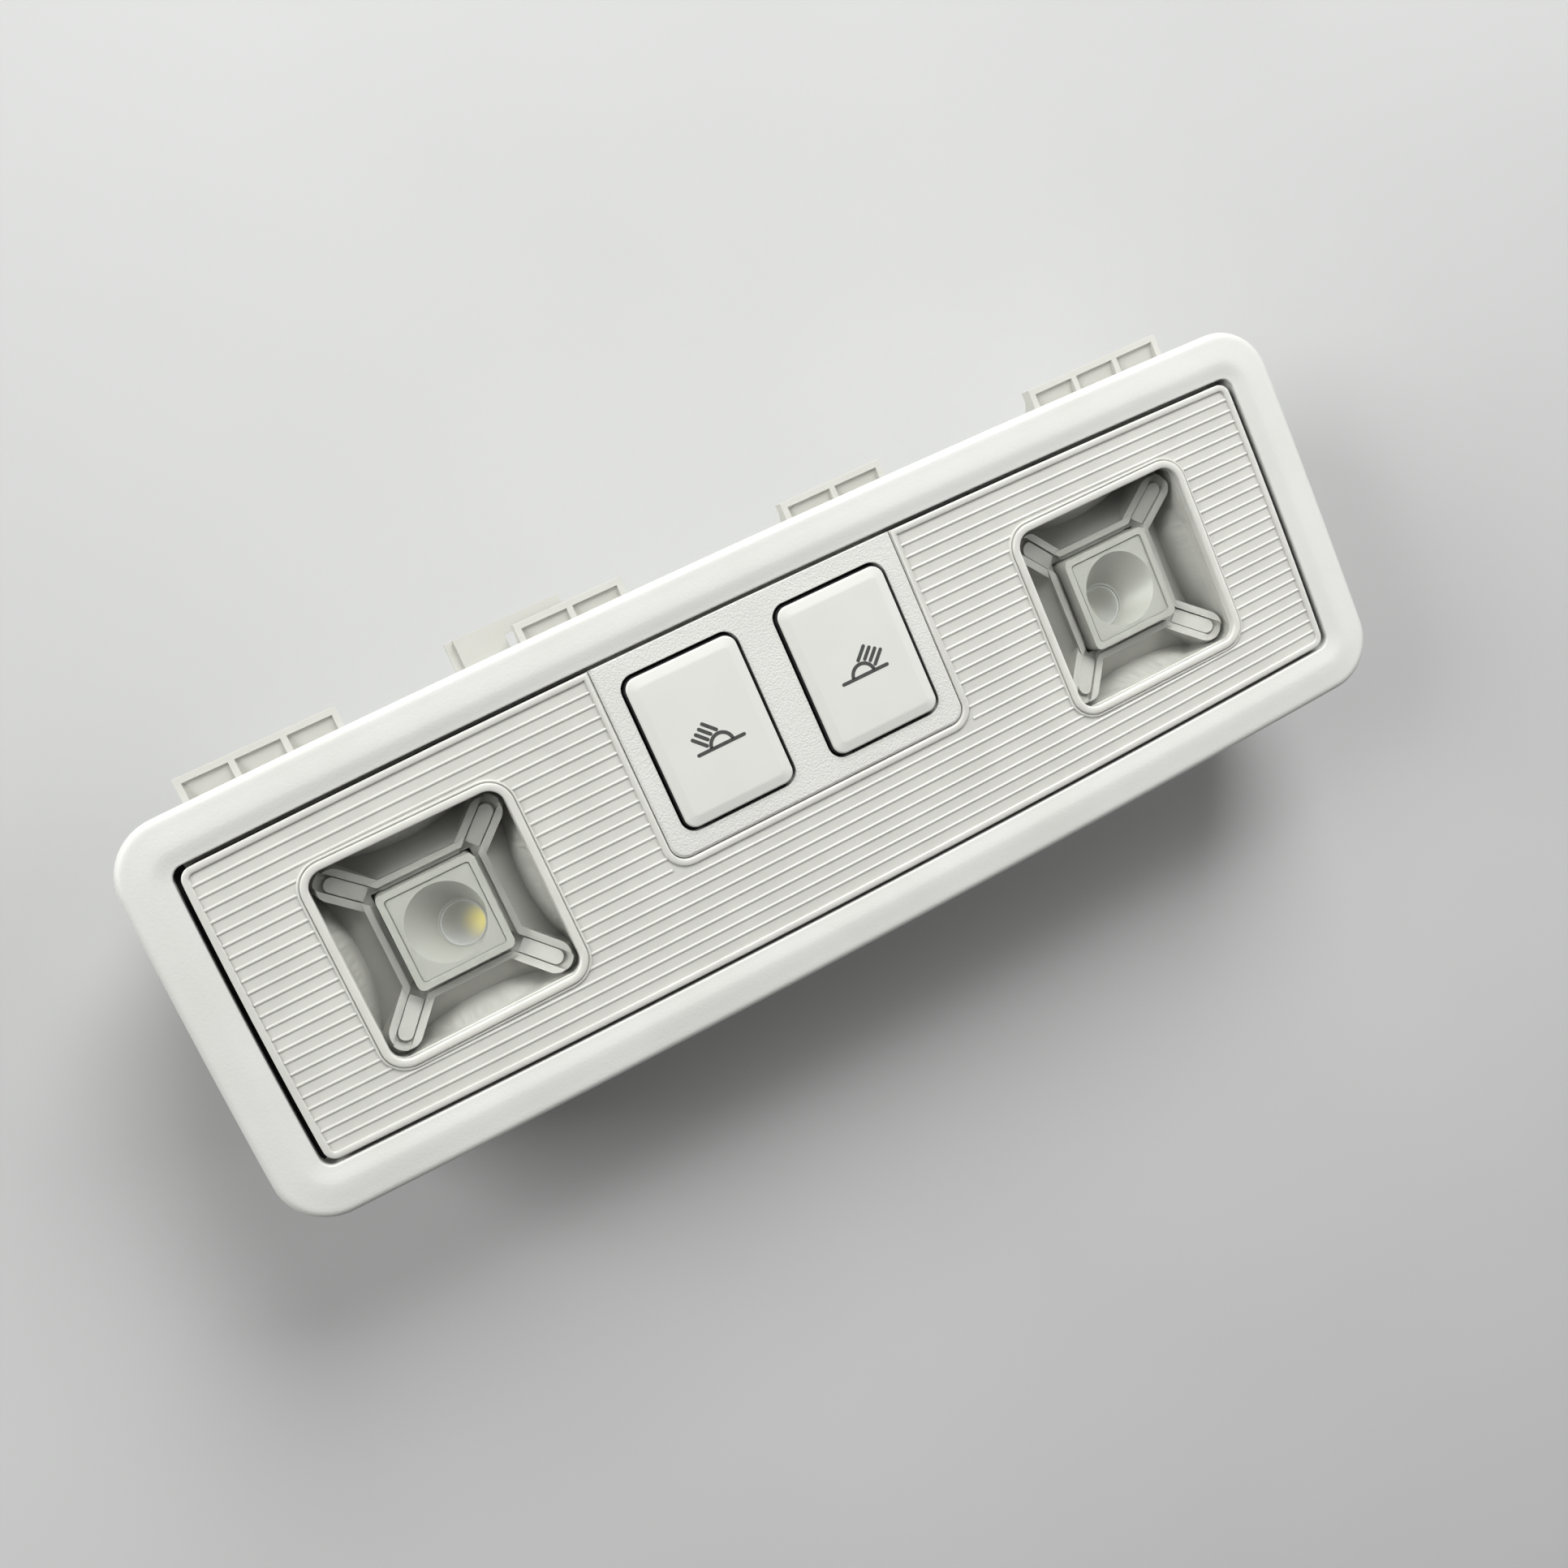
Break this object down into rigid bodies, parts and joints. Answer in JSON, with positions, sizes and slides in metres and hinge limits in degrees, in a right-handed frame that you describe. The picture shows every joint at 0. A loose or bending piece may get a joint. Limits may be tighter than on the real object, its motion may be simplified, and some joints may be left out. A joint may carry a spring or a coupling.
{
  "type": "car dome light",
  "caption": "Rear roof reading and dome light: bezel, ribbed lens, two spot lights and two push buttons on a clip-in housing.",
  "frame": {"origin": "middle of the housing's back, which it rests on", "axes": "+X along the lamp, +Y towards the locating lugs, +Z out of the lit face"},
  "size_m": [0.1968, 0.0692, 0.034],
  "materials": {
    "bezel_plastic": "fine moulded grain",
    "panel_plastic": "fine moulded grain",
    "button_plastic": "smooth satin",
    "clear_lens": "clear, polished, ribbed",
    "white_plastic": "smooth matte",
    "housing_plastic": "smooth moulded",
    "trim_plastic": "satin",
    "led_phosphor": "smooth",
    "circuit_board": "solder mask",
    "black_plastic": "smooth moulded",
    "plunger_plastic": "smooth moulded",
    "can_aluminium": "drawn",
    "pin_brass": "bright",
    "spring_steel": "zinc plated"
  },
  "bodies": {
    "lamp": {"bezel": "bezel_plastic", "switch_panel": "panel_plastic", "lens": "clear_lens", "diffuser": "white_plastic", "reflector_tray": "white_plastic", "rear_housing": "housing_plastic", "spot_trim_left": "trim_plastic", "spot_trim_right": "trim_plastic", "spot_reflector_left": "trim_plastic", "spot_reflector_right": "trim_plastic", "spot_led_left": "led_phosphor", "spot_led_right": "led_phosphor", "ambient_leds": "led_phosphor", "circuit_board": "circuit_board", "driver_chip": "black_plastic", "chip_resistors": "black_plastic", "switch_body_left": "black_plastic", "switch_body_right": "black_plastic", "connector_socket": "black_plastic", "capacitor": "can_aluminium", "connector_pins": "pin_brass", "spring_clip_left": "spring_steel", "spring_clip_right": "spring_steel", "board_screws": "spring_steel"},
    "button_left": {"button_left": "button_plastic"},
    "button_right": {"button_right": "button_plastic"},
    "plunger_left": {"plunger_left": "plunger_plastic"},
    "plunger_right": {"plunger_right": "plunger_plastic"}
  },
  "joints": [
    {"name": "button_left_press", "type": "slide", "parent": "lamp", "child": "button_left", "axis": [0, 0, -1], "range_m": [0, 0.001], "stiffness_N_per_m": 600, "springref_m": -0.001},
    {"name": "button_right_press", "type": "slide", "parent": "lamp", "child": "button_right", "axis": [0, 0, -1], "range_m": [0, 0.001], "stiffness_N_per_m": 600, "springref_m": -0.001},
    {"name": "plunger_left_press", "type": "slide", "parent": "lamp", "child": "plunger_left", "axis": [0, 0, -1], "range_m": [0, 0.001]},
    {"name": "plunger_right_press", "type": "slide", "parent": "lamp", "child": "plunger_right", "axis": [0, 0, -1], "range_m": [0, 0.001]}
  ],
  "couplings": [
    {"joint": "plunger_left_press", "follows": "button_left_press", "ratio": 1},
    {"joint": "plunger_right_press", "follows": "button_right_press", "ratio": 1}
  ]
}
